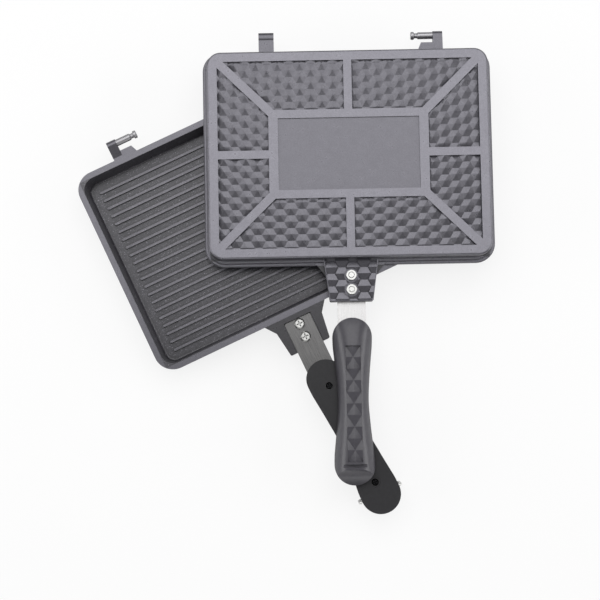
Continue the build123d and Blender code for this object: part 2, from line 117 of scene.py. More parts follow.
# Shares of a finish's colour, in the dark and in the light of its mottle.
SUNK = (0.9, 1.1)
# Painted highlight on the raised outer faces.
RAISED_HIGHLIGHT = (1.25, 1.5)
TRAY_FLOOR = (0.72, 1.0)
# Painted highlight on the ridge tops inside.
RIDGE_HIGHLIGHT = (1.6, 2.1)
SPECK = (3.0, 4.5)
MASKED_LUG = (0.4, 0.55)
# Painted shade on the grip's flat side, painted sheen on its dome.
GRIP_FLAT_SHADE = (0.4, 0.55)
GRIP_DOME_SHEEN = (2.3, 2.7)
# Painted shade on the strap's inner side; the outer side keeps the strap's own colour.
STRAP_INNER_SHADE = (0.19, 0.3)
STRAP_OUTER_TONE = (0.85, 1.1)
BARE_METAL = (0.88, 1.08)

# Painted highlight starts and ends this far below the outer face, and this far over the ridges' base.
FACE_HIGHLIGHT_SPAN = (0.5 * MM, 0.2 * MM)
RIDGE_HIGHLIGHT_SPAN = (0.4 * MM, 1.2 * MM)
# The grip's moulded skin and its painted sheen are full at this height above its flat side.
SKIN_HEIGHT = 9 * MM
# A strap's side counts as outer where its normal leans out by more than this; the inner side gets painted
# shade.
LEAN = 0.2

# Painted shade: inner corners darken within this reach, down to this share of their colour.
CORNER_SHADE_REACH = 6 * MM
CORNER_SHADE_SHARE = 0.2
# Painted shade in the recesses of the bright metals.
RECESS_SHADE_REACH = 1.2 * MM
RECESS_SHADE_SHARE = 0.15
CORNER_SAMPLES = 16

# Ranges that a Map Range node reads. A noise gathers about its middle.
NOISE_RANGE = {"From Min": 0.3, "From Max": 0.7}
FLAKE_RANGE = {"From Min": 0.35, "From Max": 0.65}
SPECK_RANGE = {"From Min": 0.66, "From Max": 0.70}
# Closeness over which the painted corner shade fades out.
CORNER_RANGE = {"From Min": 0.4, "From Max": 0.95}

# Roughness that a Map Range node gives.
COAT_SHEEN = {"To Min": 0.27, "To Max": 0.33}
GRIP_SHEEN = {"To Min": 0.55, "To Max": 0.33}
STRAP_SHEEN = {"To Min": 0.26, "To Max": 0.36}
METAL_SHEEN_SHARES = (0.8, 1.2)

# Bright metals: colour setting, roughness, and size and depth of the tooling grain.
METALS = {
    # Barrel-plated zinc, bright with soft highlights.
    "zinc_plated_steel": ("fastener", 0.28, 0.8 * MM, 0.01 * MM),
    # Bare steel off the lathe, dull grey with a tooled skin.
    "turned_steel": ("pin", 0.45, 0.5 * MM, 0.02 * MM),
    # Steel blackened in a hot bath, near black with a dull gleam.
    "black_oxide_steel": ("grip_screw", 0.45, 0.8 * MM, 0.01 * MM),
    # Bare brass off the lathe, warm and bright.
    "turned_brass": ("insert", 0.32, 0.5 * MM, 0.01 * MM),
    # Wire drawn through a die and plated, smooth with sharp highlights.
    "bright_drawn_wire": ("wire", 0.2, 1.5 * MM, 0.01 * MM),
}

# A Mix node's two colour sockets, which share their names with its other sockets.
MIX_A = 6
MIX_B = 7

# Stage, in metres. The softboxes stand about the target: one overhead and behind, three low.
WHITE = (1, 1, 1, 1)
FLOOR_SIDE = 6.0
FLOOR_ROUGHNESS = 0.9
# Shares of plain white that the camera sees over the lit world and the lit floor.
WORLD_WHITE = 1.0
FLOOR_WHITE = 0.8
OVERHEAD_BACK = 0.45
OVERHEAD_HEIGHT = 0.9
OVERHEAD_SIZE = (1.2, 1.0)
LOW_REACH = 1.2
LOW_HEIGHT = 0.45
LOW_SIZE = (1.2, 0.5)
FRONT_SHARE = 0.5
PICTURE_SIDE = 600
SENSOR_WIDTH = 36.0
CLIP_END = 20.0


def linear(code):
    """An sRGB hex colour as linear red, green, blue and alpha."""
    parts = [int(code[i:i + 2], 16) / 255 for i in (1, 3, 5)]
    return [p / 12.92 if p <= 0.04045 else ((p + 0.055) / 1.055) ** 2.4 for p in parts] + [1.0]


def length_property(name, description, default_mm):
    """A length of the settings, given in millimetres and kept in metres."""
    return bpy.props.FloatProperty(
        name=name, description=description, default=default_mm * MM, unit="LENGTH", precision=5)


def colour_property(name, description, code):
    """A colour of the settings, given as sRGB hex."""
    return bpy.props.FloatVectorProperty(
        name=name, description=description, default=linear(code), size=4, subtype="COLOR",
        min=0, max=1)


class ToasterReliefSettings(bpy.types.PropertyGroup):
    """Sizes of the moulded relief."""

    panel_cell: length_property("Panel cell", "Height of one cell in the face panels", 10.4)
    panel_rise: length_property("Panel rise", "Height of the panel cells' peaks", 1.9)
    panel_x: length_property("Panel shift X", "Shift of the panel cells along the hinge", -3.2)
    panel_y: length_property("Panel shift Y", "Shift of the panel cells towards the hinge", 1.8)
    lug_cell: length_property("Lug cell", "Height of one cell on the handle lug", 10.35)
    lug_rise: length_property("Lug rise", "Height of the lug cells' ridges", 2.1)
    lug_x: length_property("Lug shift X", "Shift of the lug cells along the hinge", 1.5)
    lug_y: length_property("Lug shift Y", "Shift of the lug cells towards the hinge", -92.8)
    facet_width: length_property("Facet width", "Width of the faceted strip on the grip", 12.3)
    facet_count: bpy.props.IntProperty(
        name="Facets", description="Diamonds along the grip", default=5)
    facet_rise: length_property("Facet rise", "Height of the diamonds on the grip", 2.1)
    softness: length_property("Edge softness", "Rounding of the cast relief's edges", 1.1)


class ToasterFinishSettings(bpy.types.PropertyGroup):
    """Colours of the finishes."""

    outer_coat: colour_property("Outer coat", "Sprayed grey coat of the outer faces", "#636268")
    inner_coat: colour_property("Inner coat", "Non-stick coat of the cooking side", "#4B4A4F")
    grip: colour_property("Grip", "Moulded phenolic of the grips", "#2B2A2E")
    strap: colour_property("Strap", "Brushed stainless steel of the straps", "#C9C8C8")
    fastener: colour_property("Fasteners", "Zinc plated screws and nuts", "#C2C2C0")
    grip_screw: colour_property("Grip screws", "Blackened screws in the grips", "#2A2A2C")
    pin: colour_property("Pins", "Turned steel hinge pins", "#A9A8AB")
    insert: colour_property("Inserts", "Turned brass bushes", "#B79A5A")
    wire: colour_property("Bail wire", "Bright drawn steel wire", "#DCDCDA")
    floor: colour_property("Floor", "Pale studio floor", "#F4F4F4")


class ToasterStageSettings(bpy.types.PropertyGroup):
    """Camera and lamps."""

    azimuth: bpy.props.FloatProperty(
        name="Azimuth", description="Turn of the camera about the object, 0 looks along +Y",
        default=math.radians(-25.50), subtype="ANGLE")
    elevation: bpy.props.FloatProperty(
        name="Elevation", description="Angle of the camera above the horizon",
        default=math.radians(86.17), subtype="ANGLE")
    distance: bpy.props.FloatProperty(
        name="Distance", description="Camera to target", default=1.0, unit="LENGTH")
    target: bpy.props.FloatVectorProperty(
        name="Target", description="Point in the middle of the picture",
        default=(-0.0499, -0.01396, 0.024), subtype="TRANSLATION")
    focal: bpy.props.FloatProperty(
        name="Focal length", description="Focal length in pixels of a 600 pixel picture",
        default=1206.4)
    key: bpy.props.FloatProperty(
        name="Key", description="Power of the overhead softbox in watts", default=7.8)
    fill: bpy.props.FloatProperty(
        name="Fill", description="Power of each low softbox in watts", default=6.5)
    sky: bpy.props.FloatProperty(
        name="Sky", description="Strength of the even studio light", default=0.25)


class ToasterSettings(bpy.types.PropertyGroup):
    """All settings of the toaster's looks."""

    relief: bpy.props.PointerProperty(type=ToasterReliefSettings)
    finish: bpy.props.PointerProperty(type=ToasterFinishSettings)
    stage: bpy.props.PointerProperty(type=ToasterStageSettings)


def settings():
    """The scene's toaster settings."""
    return bpy.context.scene.toaster


def outer_place(side):
    """Matrix from a half's outer frame to the row frame."""
    if side == "upper":
        swing = next(j for j in frame["joints"] if j["name"] == "upper_half_swing")
        along = -Vector(swing["axis"]).normalized()
        up = Vector((0, 0, 1))
        hinge = Vector(swing["pos_m"])
    else:
        low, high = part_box("lower_hinge_pin")
        pan_low, pan_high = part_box("lower_pan")
        along = Vector((-1, 0, 0))
        up = Vector((0, 0, -1))
        hinge = Vector(((pan_low.x + pan_high.x) / 2, (low.y + high.y) / 2, (low.z + high.z) / 2))
    back = up.cross(along)
    origin = hinge - back * HINGE_Y
    turn = Matrix((along, back, up)).transposed().to_4x4()
    return Matrix.Translation(origin) @ turn


def active(piece):
    """Deselects everything else and makes the piece active."""
    if bpy.context.object and bpy.context.object.mode != "OBJECT":
        bpy.ops.object.mode_set(mode="OBJECT")
    bpy.ops.object.select_all(action="DESELECT")
    piece.select_set(True)
    bpy.context.view_layer.objects.active = piece
    return piece


def choose(piece, wanted, kind="VERT"):
    """Selects the vertices of an edited mesh that pass the test, or the edges whose ends both do."""
    bpy.ops.mesh.select_mode(type=kind)
    bpy.ops.mesh.select_all(action="DESELECT")
    mesh = bmesh.from_edit_mesh(piece.data)
    if kind == "VERT":
        for vert in mesh.verts:
            vert.select_set(wanted(vert.co))
    else:
        for edge in mesh.edges:
            edge.select_set(all(wanted(vert.co) for vert in edge.verts))
    mesh.select_flush_mode()
    bmesh.update_edit_mesh(piece.data)


def near(a, b):
    """Whether two measures differ by less than a thousandth of a millimetre."""
    return abs(a - b) < 1e-6


def apply_all(piece):
    """Applies every modifier of the piece in order."""
    active(piece)
    for modifier in list(piece.modifiers):
        bpy.ops.object.modifier_apply(modifier=modifier.name)


def twin(piece, name):
    """A copy of the piece with its own mesh."""
    copy = piece.copy()
    copy.data = piece.data.copy()
    copy.name = name
    bpy.context.collection.objects.link(copy)
    return copy


def repeat(piece, step, count):
    """Repeats the mesh in a row, welded where copies meet."""
    row = piece.modifiers.new("row", "ARRAY")
    row.use_relative_offset = False
    row.use_constant_offset = True
    row.constant_offset_displace = step
    row.count = count
    row.use_merge_vertices = True
    row.merge_threshold = WELD
    apply_all(piece)


def double_cell(shift):
    """Adds a shifted copy to the edited cell and welds the two."""
    bpy.ops.mesh.select_all(action="SELECT")
    bpy.ops.mesh.duplicate()
    bpy.ops.transform.translate(value=shift)
    bpy.ops.mesh.select_all(action="SELECT")
    bpy.ops.mesh.remove_doubles(threshold=WELD)


def raise_ridge(cell, side, across, half_length, rise):
    """Lifts a ridge along X out of a flat hexagon and joins its ends to the corners."""
    bpy.ops.mesh.select_all(action="SELECT")
    bpy.ops.mesh.bisect(plane_co=(0, 0, 0), plane_no=(0, 1, 0))
    choose(cell, lambda co: near(co.y, 0), "EDGE")
    bpy.ops.mesh.subdivide(number_cuts=2)
    for hand in (-1, 1):
        cut = hand * side / 3
        top = Vector((hand * half_length, 0, rise))
        choose(cell, lambda co: near(co.y, 0) and near(co.x, cut))
        bpy.ops.transform.translate(value=(hand * (half_length - side / 3), 0, rise))
        for end in (-1, 1):
            corner = Vector((hand * side / 2, end * across / 2, 0))
            choose(cell, lambda co: near((co - corner).length, 0) or near((co - top).length, 0))
            bpy.ops.mesh.vert_connect()


def hexagon_cells(across, rise, half_x, half_y, centre, ridge_share):
    """Sheet of raised hexagons, wider than the given half sizes, with one cell at the centre.

    Each cell rises to a ridge along X, whose half length is the given share of the cell's side,
    or to a point where the share is nought.
    """
    side = across / math.sqrt(3)
    fill = "NGON" if ridge_share else "TRIFAN"
    bpy.ops.mesh.primitive_circle_add(
        vertices=6, radius=side, fill_type=fill, rotation=(0, 0, math.pi / 6))
    cell = active(bpy.context.object)
    bpy.ops.object.transform_apply(rotation=True)
    bpy.ops.object.mode_set(mode="EDIT")
    if ridge_share:
        raise_ridge(cell, side, across, side * ridge_share, rise)
    else:
        choose(cell, lambda co: near(co.length, 0))
        bpy.ops.transform.translate(value=(0, 0, rise))
    double_cell((1.5 * side, across / 2, 0))
    bpy.ops.object.mode_set(mode="OBJECT")
    columns = 2 * math.ceil(half_x / (3 * side)) + 2
    rows = 2 * math.ceil(half_y / across) + 3
    repeat(cell, (3 * side, 0, 0), columns)
    repeat(cell, (0, across, 0), rows)
    start = (centre[0] - (columns // 2) * 3 * side, centre[1] - (rows // 2) * across, 0)
    bpy.ops.object.mode_set(mode="EDIT")
    bpy.ops.mesh.select_all(action="SELECT")
    bpy.ops.transform.translate(value=start)
    bpy.ops.object.mode_set(mode="OBJECT")
    return cell


def cut_and_close(piece, planes, base_z):
    """Trims a sheet outside the planes and closes it down to a flat base."""
    active(piece)
    bpy.ops.object.mode_set(mode="EDIT")
    for point, normal in planes:
        bpy.ops.mesh.select_all(action="SELECT")
        bpy.ops.mesh.bisect(
            plane_co=(point[0], point[1], 0), plane_no=(normal[0], normal[1], 0), clear_outer=True)
    bpy.ops.mesh.select_mode(type="EDGE")
    bpy.ops.mesh.select_all(action="DESELECT")
    bpy.ops.mesh.select_non_manifold()
    bpy.ops.mesh.extrude_region_move(TRANSFORM_OT_translate={"value": (0, 0, base_z)})
    bpy.ops.transform.resize(value=(1, 1, 0), center_override=(0, 0, base_z))
    bpy.ops.mesh.edge_face_add()
    bpy.ops.mesh.select_all(action="SELECT")
    bpy.ops.mesh.normals_make_consistent(inside=False)
    bpy.ops.object.mode_set(mode="OBJECT")


def soften(piece, width):
    """Rounds the piece's edges a little and smooths what is nearly flat."""
    bevel = piece.modifiers.new("soft", "BEVEL")
    bevel.width = width
    bevel.segments = 2
    bevel.limit_method = "ANGLE"
    bevel.angle_limit = ROUNDED_ANGLE
    bevel.use_clamp_overlap = True
    apply_all(piece)
    bpy.ops.object.shade_smooth_by_angle(angle=SMOOTH_ANGLE)


def facet_strip(width, run, rise, count):
    """Row of raised diamonds from the origin along -Y, with half diamonds filling its sides."""
    length = run / count
    bpy.ops.object.select_all(action="DESELECT")
    bpy.ops.mesh.primitive_circle_add(vertices=4, radius=1.0, fill_type="NGON")
    cell = active(bpy.context.object)
    bpy.ops.object.mode_set(mode="EDIT")
    bpy.ops.mesh.select_all(action="SELECT")
    bpy.ops.transform.resize(value=(width / 2, length / 2, 1))
    bpy.ops.mesh.poke()
    choose(cell, lambda co: near(co.length, 0))
    bpy.ops.transform.translate(value=(0, 0, rise))
    double_cell((width / 2, length / 2, 0))
    bpy.ops.transform.translate(value=(-width, 0, 0))
    bpy.ops.object.mode_set(mode="OBJECT")
    repeat(cell, (width, 0, 0), 3)
    repeat(cell, (0, -length, 0), count + 2)
    planes = [
        ((-width / 2, 0), (-1, 0)),
        ((width / 2, 0), (1, 0)),
        ((0, 0), (0, 1)),
        ((0, -run), (0, -1)),
    ]
    cut_and_close(cell, planes, -STRIP_SINK)
    soften(cell, STRIP_SOFTNESS)
    return cell


def set_down(piece, place, name, body, material):
    """Puts a finished piece in the row frame, with its place in its mesh."""
    piece.name = name
    piece.data.name = name
    piece.data.transform(place)
    piece.data.materials.clear()
    piece.data.materials.append(material)
    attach(piece, body)


def connect(tree, target, sources):
    """Feeds the target's inputs: a socket or a node's first live output is linked, a value is set."""
    for name, source in sources.items():
        if isinstance(source, bpy.types.Node):
            source = next(output for output in source.outputs if output.enabled)
        if isinstance(source, bpy.types.NodeSocket):
            tree.links.new(source, target.inputs[name])
        else:
            target.inputs[name].default_value = source


def node(tree, kind, sources=None, **values):
    """Adds a shader node with its settings and links."""
    made = tree.nodes.new(kind)
    for name, value in values.items():
        setattr(made, name, value)
    connect(tree, made, sources or {})
    return made


def new_material(name, **sockets):
    """A node material with one Principled shader; returns material, tree and shader."""
    material = bpy.data.materials.new(name)
    material.use_nodes = True
    tree = material.node_tree
    shader = tree.nodes["Principled BSDF"]
    connect(tree, shader, sockets)
    return material, tree, shader


def scaled(colour, share):
    """A linear colour made lighter or darker."""
    return [min(1.0, c * share) for c in colour[:3]] + [1.0]


def half_point(tree, side):
    """Object coordinates turned into the half's outer frame."""
    back = outer_place(side).inverted()
    return node(tree, "ShaderNodeMapping", {
        "Vector": node(tree, "ShaderNodeTexCoord").outputs["Object"],
        "Location": back.to_translation(),
        "Rotation": back.to_euler(),
    })


def within(tree, split, half):
    """One inside a plan rectangle about the middle of the half, nought outside it."""
    sides = []
    for axis, limit in (("X", half.x), ("Y", half.y)):
        reach = node(tree, "ShaderNodeMath", {0: split.outputs[axis]}, operation="ABSOLUTE")
        sides.append(node(tree, "ShaderNodeMath", {0: reach, 1: limit}, operation="LESS_THAN"))
    return node(tree, "ShaderNodeMath", {0: sides[0], 1: sides[1]}, operation="MULTIPLY")


def tones(tree, factor, colour, *shares):
    """For each pair of shares, the colour from its darker to its lighter share by the factor."""
    made = []
    for dark, light in shares:
        made.append(node(tree, "ShaderNodeMix", {
            "Factor": factor,
            MIX_A: scaled(colour, dark),
            MIX_B: scaled(colour, light),
        }, data_type="RGBA"))
    return made


def layered(tree, base, *layers):
    """A base colour with others laid over it in turn, each by its own factor."""
    for factor, over in layers:
        base = node(tree, "ShaderNodeMix", {
            "Factor": factor, MIX_A: base, MIX_B: over}, data_type="RGBA")
    return base


def painted_corner_shade(tree, colour, share, reach):
    """A colour with painted shade: darker in inner corners, by how closed in they are."""
    corner = node(tree, "ShaderNodeAmbientOcclusion", {"Distance": reach},
                  samples=CORNER_SAMPLES, only_local=True)
    openness = node(tree, "ShaderNodeMapRange", {"Value": corner.outputs["AO"], **CORNER_RANGE})
    dark = node(tree, "ShaderNodeVectorMath", {0: colour, 1: (share, share, share)},
                operation="MULTIPLY")
    return layered(tree, dark, (openness, colour))


def flake_mottle(tree, point):
    """Factor of the fine mottle that flake gives a sprayed coat."""
    lumps = node(tree, "ShaderNodeTexNoise", {
        "Vector": point, "Scale": 1 / FLAKE_SIZE, "Detail": 4.0})
    return node(tree, "ShaderNodeMapRange", {"Value": lumps, **FLAKE_RANGE})


def sprayed_surface(tree, shader, point):
    """Cloudy satin sheen and fine grit of a sprayed coat."""
    clouds = node(tree, "ShaderNodeTexNoise", {
        "Vector": point, "Scale": 1 / CLOUD_SIZE, "Detail": 2.0})
    grit = node(tree, "ShaderNodeTexNoise", {
        "Vector": point, "Scale": 1 / GRIT_SIZE, "Detail": 2.0})
    connect(tree, shader, {
        "Roughness": node(tree, "ShaderNodeMapRange", {
            "Value": clouds, **NOISE_RANGE, **COAT_SHEEN}),
        "Normal": node(tree, "ShaderNodeBump", {"Height": grit, "Distance": GRIT_DEPTH}),
    })


def sprayed_grey_coat():
    """Outer relief: sprayed metallic-flake coat on die-cast aluminium, satin grey with fine grit."""
    material, tree, shader = new_material("sprayed_grey_coat", Metallic=OUTER_FLAKE)
    point = node(tree, "ShaderNodeTexCoord").outputs["Object"]
    [sunk] = tones(tree, flake_mottle(tree, point), settings().finish.outer_coat, SUNK)
    connect(tree, shader, {"Base Color": sunk})
    sprayed_surface(tree, shader, point)
    return material


def coated_casting(side):
    """One half: die-cast aluminium, grey flake coat outside, dark speckled non-stick inside.

    The raised faces and the ridge tops are painted lighter as painted highlight, and the cooking side
    is painted darker in its inner corners as painted shade. The inner side of the handle lug is
    masked with the cooking side.
    """
    material, tree, shader = new_material(f"coated_casting_{side}")
    finish = settings().finish
    point = half_point(tree, side)
    split = node(tree, "ShaderNodeSeparateXYZ", {"Vector": point})
    height = split.outputs["Z"]

    under_floor = node(tree, "ShaderNodeMath", {0: height, 1: CAVITY_FLOOR_Z}, operation="LESS_THAN")
    cavity = node(tree, "ShaderNodeMath", {0: within(tree, split, CAVITY_HALF), 1: under_floor},
                  operation="MULTIPLY")
    past_rim = node(tree, "ShaderNodeMath", {0: split.outputs["Y"], 1: RIM_FRONT_Y},
                    operation="LESS_THAN")
    inner_side = node(tree, "ShaderNodeMath", {0: height, 1: LUG_FACE_Z / 2}, operation="LESS_THAN")
    lug = node(tree, "ShaderNodeMath", {0: past_rim, 1: inner_side}, operation="MULTIPLY")
    inside = node(tree, "ShaderNodeMath", {0: cavity, 1: lug}, operation="MAXIMUM")
    # Painted highlight: the raised faces are painted lighter, by height.
    raised = node(tree, "ShaderNodeMapRange", {
        "Value": height, "From Min": FACE_Z - FACE_HIGHLIGHT_SPAN[0], "From Max": FACE_Z - FACE_HIGHLIGHT_SPAN[1]})
    # Painted highlight: the ridge tops are painted lighter, by height.
    high = node(tree, "ShaderNodeMapRange", {
        "Value": height,
        "From Min": RIDGE_BASE_Z - RIDGE_HIGHLIGHT_SPAN[0],
        "From Max": RIDGE_BASE_Z - RIDGE_HIGHLIGHT_SPAN[1],
    })
    ridges = node(tree, "ShaderNodeMath", {0: within(tree, split, RIDGE_FIELD), 1: high},
                  operation="MULTIPLY")
    lumps = node(tree, "ShaderNodeTexNoise", {
        "Vector": point, "Scale": 1 / SPECK_SIZE, "Detail": 1.0})
    specks = node(tree, "ShaderNodeMapRange", {"Value": lumps, **SPECK_RANGE})

    mottle = flake_mottle(tree, point)
    sunk, raised_highlight_tone = tones(tree, mottle, finish.outer_coat, SUNK, RAISED_HIGHLIGHT)
    floor, ridge_highlight_tone, speck, masked = tones(
        tree, mottle, finish.inner_coat, TRAY_FLOOR, RIDGE_HIGHLIGHT, SPECK, MASKED_LUG)
    outer = layered(tree, sunk, (raised, raised_highlight_tone))
    inner = layered(tree, floor, (ridges, ridge_highlight_tone), (specks, speck))
    # Painted shade in the inner corners of the cooking side.
    cooking = layered(tree, painted_corner_shade(tree, inner, CORNER_SHADE_SHARE, CORNER_SHADE_REACH), (lug, masked))
    connect(tree, shader, {
        "Base Color": layered(tree, outer, (inside, cooking)),
        "Metallic": node(tree, "ShaderNodeMapRange", {
            "Value": inside, "To Min": OUTER_FLAKE, "To Max": INNER_FLAKE}),
    })
    sprayed_surface(tree, shader, point)
    return material


def moulded_phenolic(side):
    """Grip: compression-moulded phenolic, matt on the flat side, with a satin skin over the dome. The
    dome is painted lighter as painted sheen, the flat side darker as painted shade.
    """
    material, tree, shader = new_material(f"moulded_phenolic_{side}", IOR=1.5)
    point = node(tree, "ShaderNodeTexCoord").outputs["Object"]
    split = node(tree, "ShaderNodeSeparateXYZ", {"Vector": half_point(tree, side)})
    skin = node(tree, "ShaderNodeMapRange", {"Value": split.outputs["Z"], "From Max": SKIN_HEIGHT})
    lumps = node(tree, "ShaderNodeTexNoise", {
        "Vector": point, "Scale": 1 / PHENOLIC_LUMP_SIZE, "Detail": 3.0})
    shade = node(tree, "ShaderNodeMapRange", {"Value": lumps, **NOISE_RANGE})
    grit = node(tree, "ShaderNodeTexNoise", {
        "Vector": point, "Scale": 1 / PHENOLIC_GRIT_SIZE, "Detail": 2.0})
    # Lit and shaded copies of the grip colour: painted shade on the flat side, painted sheen on the dome.
    flat, dome = tones(tree, shade, settings().finish.grip, GRIP_FLAT_SHADE, GRIP_DOME_SHEEN)
    connect(tree, shader, {
        "Base Color": layered(tree, flat, (skin, dome)),
        "Roughness": node(tree, "ShaderNodeMapRange", {"Value": skin, **GRIP_SHEEN}),
        "Normal": node(tree, "ShaderNodeBump", {"Height": grit, "Distance": PHENOLIC_GRIT_DEPTH}),
    })
    return material


def brushed_stainless(side):
    """Strap: stamped stainless steel brushed along its length, painted darker on its inner side as
    painted shade.
    """
    material, tree, shader = new_material(f"brushed_stainless_{side}", Metallic=1.0)
    brush = node(tree, "ShaderNodeMapping", {
        "Vector": half_point(tree, side), "Scale": BRUSH_STRETCH})
    lines = node(tree, "ShaderNodeTexNoise", {
        "Vector": brush, "Scale": 1 / BRUSH_LINE_SIZE, "Detail": 3.0})
    brushed = node(tree, "ShaderNodeMapRange", {"Value": lines, **NOISE_RANGE})
    normal = node(tree, "ShaderNodeTexCoord").outputs["Normal"]
    facing = node(tree, "ShaderNodeSeparateXYZ", {"Vector": normal})
    outward = outer_place(side).col[2].z
    outside = node(tree, "ShaderNodeMapRange", {
        "Value": facing.outputs["Z"], "From Min": -LEAN * outward, "From Max": LEAN * outward})
    # Painted shade: the inner side is painted darker than the outer.
    inner_shade_tone, outer_tone = tones(tree, brushed, settings().finish.strap, STRAP_INNER_SHADE, STRAP_OUTER_TONE)
    connect(tree, shader, {
        "Base Color": layered(tree, inner_shade_tone, (outside, outer_tone)),
        "Roughness": node(tree, "ShaderNodeMapRange", {
            "Value": lines, **NOISE_RANGE, **STRAP_SHEEN}),
        "Normal": node(tree, "ShaderNodeBump", {"Height": lines, "Distance": BRUSH_LINE_DEPTH}),
    })
    return material


def plain_metal(name):
    """A bright metal of the table, with a slight tooling grain and painted shade in its recesses."""
    colour_setting, roughness, grain_size, grain_depth = METALS[name]
    material, tree, shader = new_material(name, Metallic=1.0, Roughness=roughness)
    point = node(tree, "ShaderNodeTexCoord").outputs["Object"]
    grain = node(tree, "ShaderNodeTexNoise", {
        "Vector": point, "Scale": 1 / grain_size, "Detail": 3.0})
    tooled = node(tree, "ShaderNodeMapRange", {"Value": grain, **NOISE_RANGE})
    [bare] = tones(tree, tooled, getattr(settings().finish, colour_setting), BARE_METAL)
    smooth, rough = (roughness * share for share in METAL_SHEEN_SHARES)
    # The base colour carries painted shade in the recesses.
    connect(tree, shader, {
        "Base Color": painted_corner_shade(tree, bare, RECESS_SHADE_SHARE, RECESS_SHADE_REACH),
        "Roughness": node(tree, "ShaderNodeMapRange", {
            "Value": grain, **NOISE_RANGE, "To Min": smooth, "To Max": rough}),
        "Normal": node(tree, "ShaderNodeBump", {"Height": grain, "Distance": grain_depth}),
    })
    return material


def paint_node(name, material):
    """Gives a carried-over CAD node its finish."""
    slots = frame["nodes"][name].material_slots
    if not slots:
        frame["nodes"][name].data.materials.append(material)
    for slot in slots:
        slot.material = material


class TOASTER_OT_castings(bpy.types.Operator):
    """Coats the two castings, grey outside and dark non-stick inside"""

    bl_idname = "toaster.castings"
    bl_label = "Castings"

    def execute(self, context):
        for side in SIDES:
            paint_node(f"{side}_pan", coated_casting(side))
        return {"FINISHED"}


class TOASTER_OT_hardware(bpy.types.Operator):
    """Finishes the pins, straps, screws, nuts, inserts and the wire bail"""

    bl_idname = "toaster.hardware"
    bl_label = "Hardware"

    def execute(self, context):
        metal = {name: plain_metal(name) for name in METALS}
        for side in SIDES:
            paint_node(f"{side}_hinge_pin", metal["turned_steel"])
            paint_node(f"{side}_handle_strap", brushed_stainless(side))
            for place in PLACES:
                paint_node(f"{side}_{place}_lug_screw", metal["zinc_plated_steel"])
                paint_node(f"{side}_{place}_lug_nut", metal["zinc_plated_steel"])
                paint_node(f"{side}_{place}_grip_screw", metal["black_oxide_steel"])
                paint_node(f"{side}_{place}_grip_insert", metal["turned_brass"])
        paint_node("latch_bail", metal["bright_drawn_wire"])
        return {"FINISHED"}


class TOASTER_OT_grips(bpy.types.Operator):
    """Finishes the two moulded grips and adds the faceted strip along their crowns"""

    bl_idname = "toaster.grips"
    bl_label = "Grips"

    def execute(self, context):
        relief = settings().relief
        fall = STRIP_END_Z - STRIP_START_Z
        reach = STRIP_START_Y - STRIP_END_Y
        run = math.hypot(reach, fall)
        strip = facet_strip(relief.facet_width, run, relief.facet_rise, relief.facet_count)
        start = Matrix.Translation((0, STRIP_START_Y, STRIP_START_Z))
        on_grip = start @ Matrix.Rotation(-math.atan2(fall, reach), 4, "X")
        for side in SIDES:
            phenolic = moulded_phenolic(side)
            paint_node(f"{side}_grip", phenolic)
            piece = strip if side == SIDES[-1] else twin(strip, "strip")
            place = outer_place(side) @ on_grip
            set_down(piece, place, f"{side}_grip_facets", f"{side}_half", phenolic)
        return {"FINISHED"}


class TOASTER_OT_panel_relief(bpy.types.Operator):
    """Fills the eight framed panels of each outer face with cast hexagonal cells"""

    bl_idname = "toaster.panel_relief"
    bl_label = "Panel relief"

    def execute(self, context):
        relief = settings().relief
        coat = sprayed_grey_coat()
        bpy.ops.object.select_all(action="DESELECT")
        shift = (relief.panel_x, relief.panel_y)
        sheet = hexagon_cells(relief.panel_cell, relief.panel_rise, FIELD.x, FIELD.y, shift, 0)
        # A diagonal rib runs from each corner of the centre frame to the corner of the field.
        middle = (FIELD + CENTRE_FRAME) / 2
        run = FIELD - CENTRE_FRAME
        across = Vector((-run.y, run.x)).normalized()
        above_centre = [
            ((MID_RIB_HALF, 0), (-1, 0)),
            ((0, FIELD.y), (0, 1)),
            ((0, CENTRE_FRAME.y), (0, -1)),
            (middle + across * DIAGONAL_RIB_HALF, -across),
        ]
        beside_centre = [
            ((0, MID_RIB_HALF), (0, -1)),
            ((FIELD.x, 0), (1, 0)),
            ((CENTRE_FRAME.x, 0), (-1, 0)),
            (middle - across * DIAGONAL_RIB_HALF, across),
        ]
        parts = []
        for hand in (-1, 1):
            for end in (-1, 1):
                for planes in (above_centre, beside_centre):
                    part = twin(sheet, "panel")
                    turned = [
                        ((point[0] * hand, point[1] * end), (normal[0] * hand, normal[1] * end))
                        for point, normal in planes]
                    cut_and_close(part, turned, -PANEL_SINK)
                    parts.append(part)
        bpy.data.objects.remove(sheet)
        panels = active(parts[0])
        for part in parts:
            part.select_set(True)
        bpy.ops.object.join()
        soften(panels, relief.softness)
        on_face = Matrix.Translation((0, 0, FACE_Z - POCKET_DEPTH + PANEL_SINK))
        for side in SIDES:
            piece = panels if side == SIDES[-1] else twin(panels, "panels")
            place = outer_place(side) @ on_face
            set_down(piece, place, f"{side}_panel_relief", f"{side}_half", coat)
        return {"FINISHED"}


